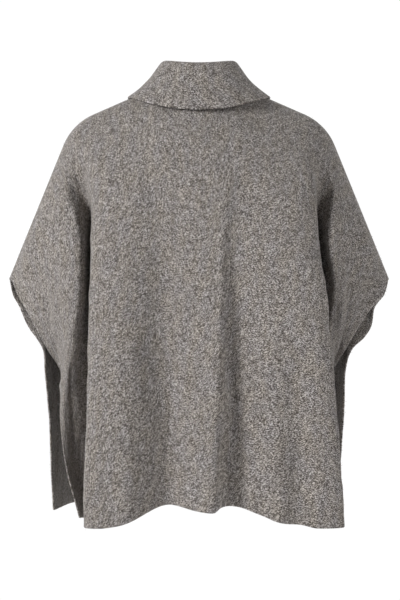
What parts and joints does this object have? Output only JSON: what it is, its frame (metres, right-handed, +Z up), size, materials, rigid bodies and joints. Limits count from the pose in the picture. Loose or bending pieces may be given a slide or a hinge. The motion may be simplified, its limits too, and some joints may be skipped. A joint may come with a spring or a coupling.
{
  "type": "knitted poncho sweater",
  "caption": "Grey felted-knit poncho sweater with a fold-over collar, worn and hollow, open at the sides.",
  "frame": {"origin": "the middle of the neck opening, level with the points where the collar meets the shoulders", "axes": "+Z up, -Y towards the wearer's front, +X towards the wearer's left"},
  "size_m": [0.6777, 0.3251, 0.8141],
  "materials": {
    "wool": "heathered grey felted wool knit, brushed and matt"
  },
  "bodies": {
    "root": {"back_panel": "wool", "front_panel": "wool", "collar": "wool"}
  },
  "joints": []
}
